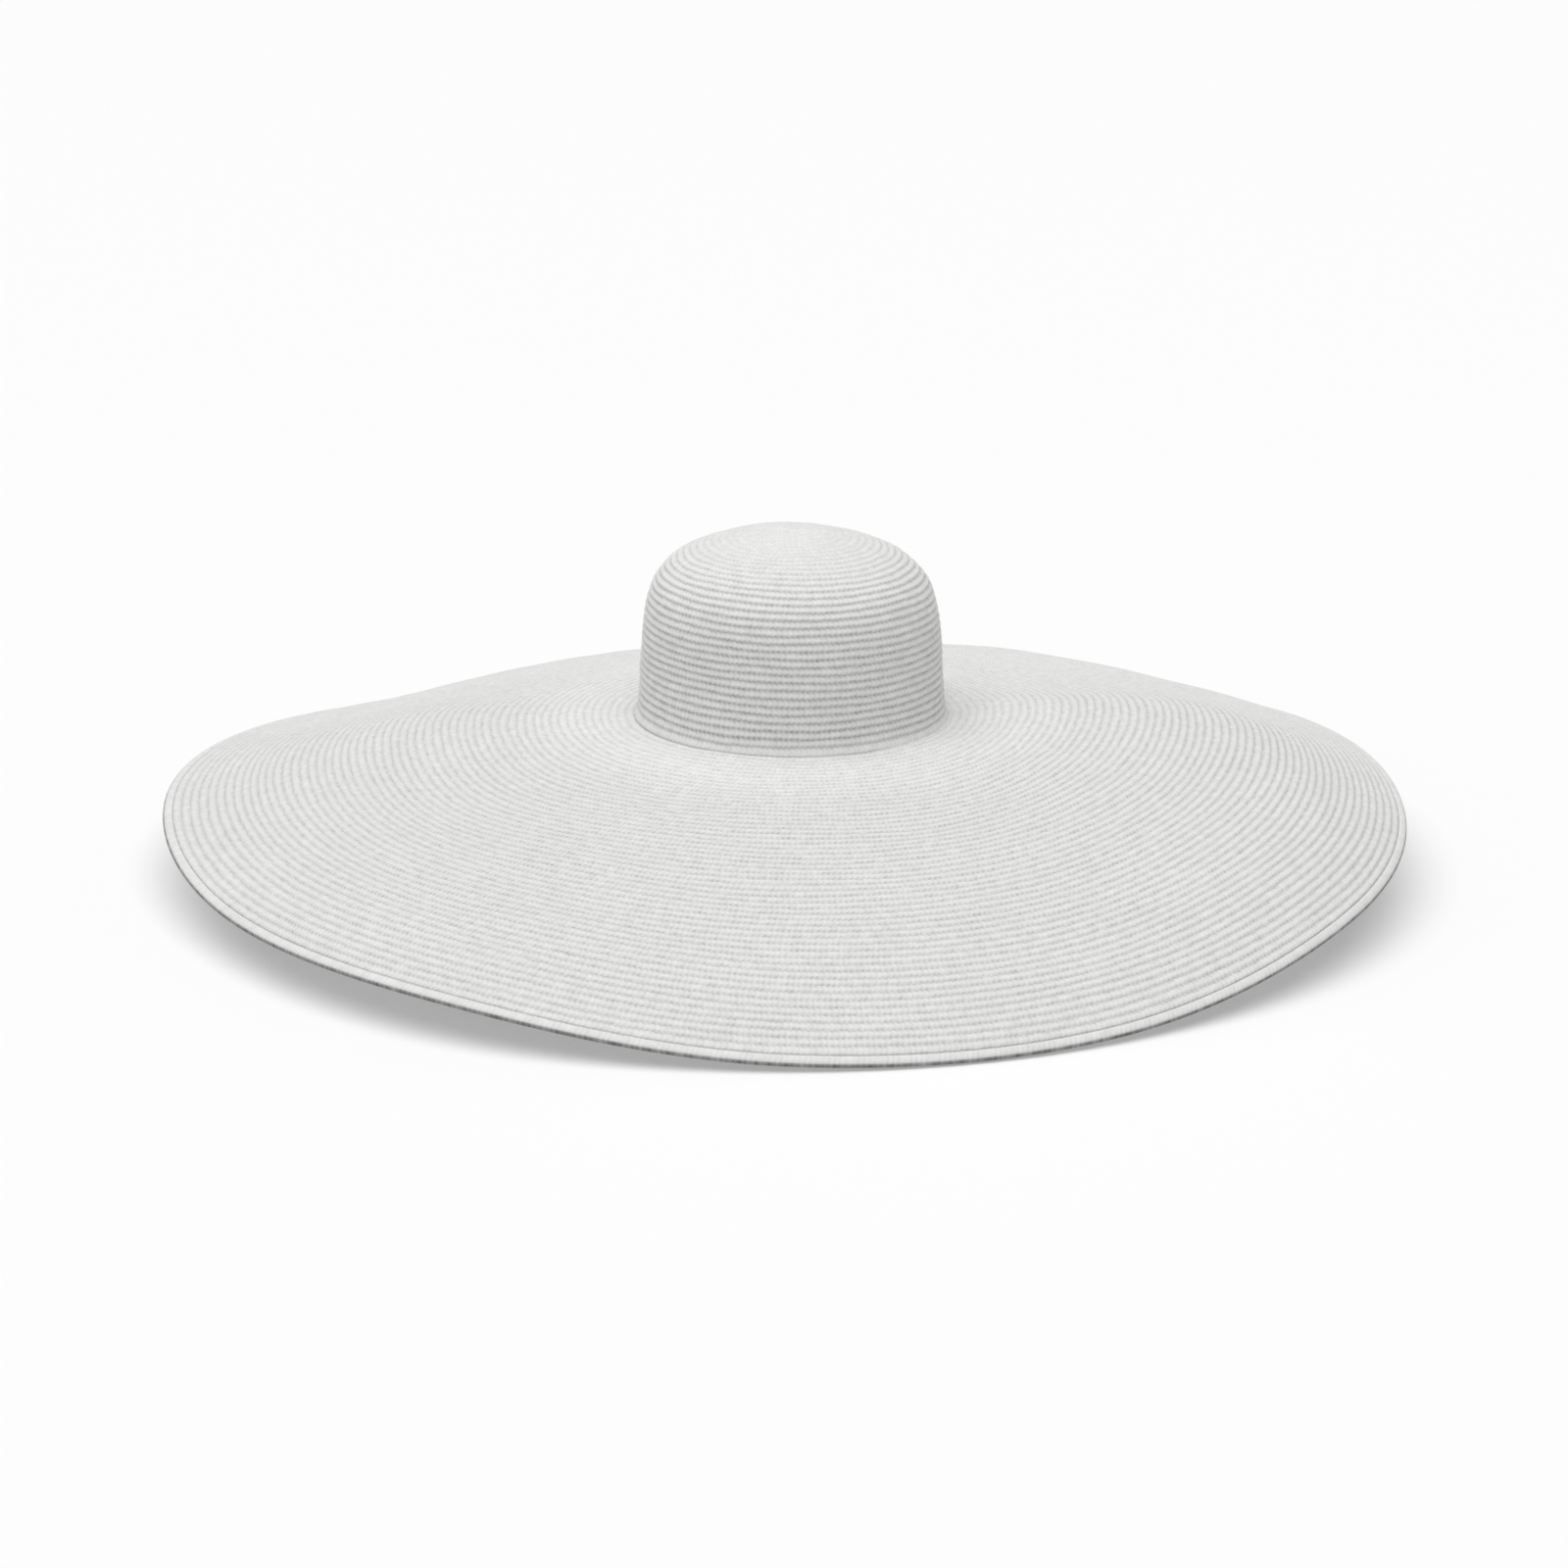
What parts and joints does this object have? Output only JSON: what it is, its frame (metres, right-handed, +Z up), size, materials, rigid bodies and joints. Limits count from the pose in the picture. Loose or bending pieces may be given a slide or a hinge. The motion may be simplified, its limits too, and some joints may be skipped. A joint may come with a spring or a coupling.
{
  "type": "straw beach hat",
  "caption": "Sun hat of sewn paper braid with a round crown, an open head hollow and a very wide, softly waved brim with a thicker edge row.",
  "frame": {"origin": "on the ground under the centre of the hat's box, with the hat resting on its brim", "axes": "+Z up along the crown's axis, +X to the right seen from the front, the front faces -Y"},
  "size_m": [0.7564, 0.7356, 0.2083],
  "materials": {
    "crown_straw": "sewn braid, matt",
    "brim_straw": "sewn braid, matt",
    "edge_straw": "sewn braid, matt"
  },
  "bodies": {
    "root": {"crown": "crown_straw", "brim": "brim_straw", "brim_edge": "edge_straw"}
  },
  "joints": []
}
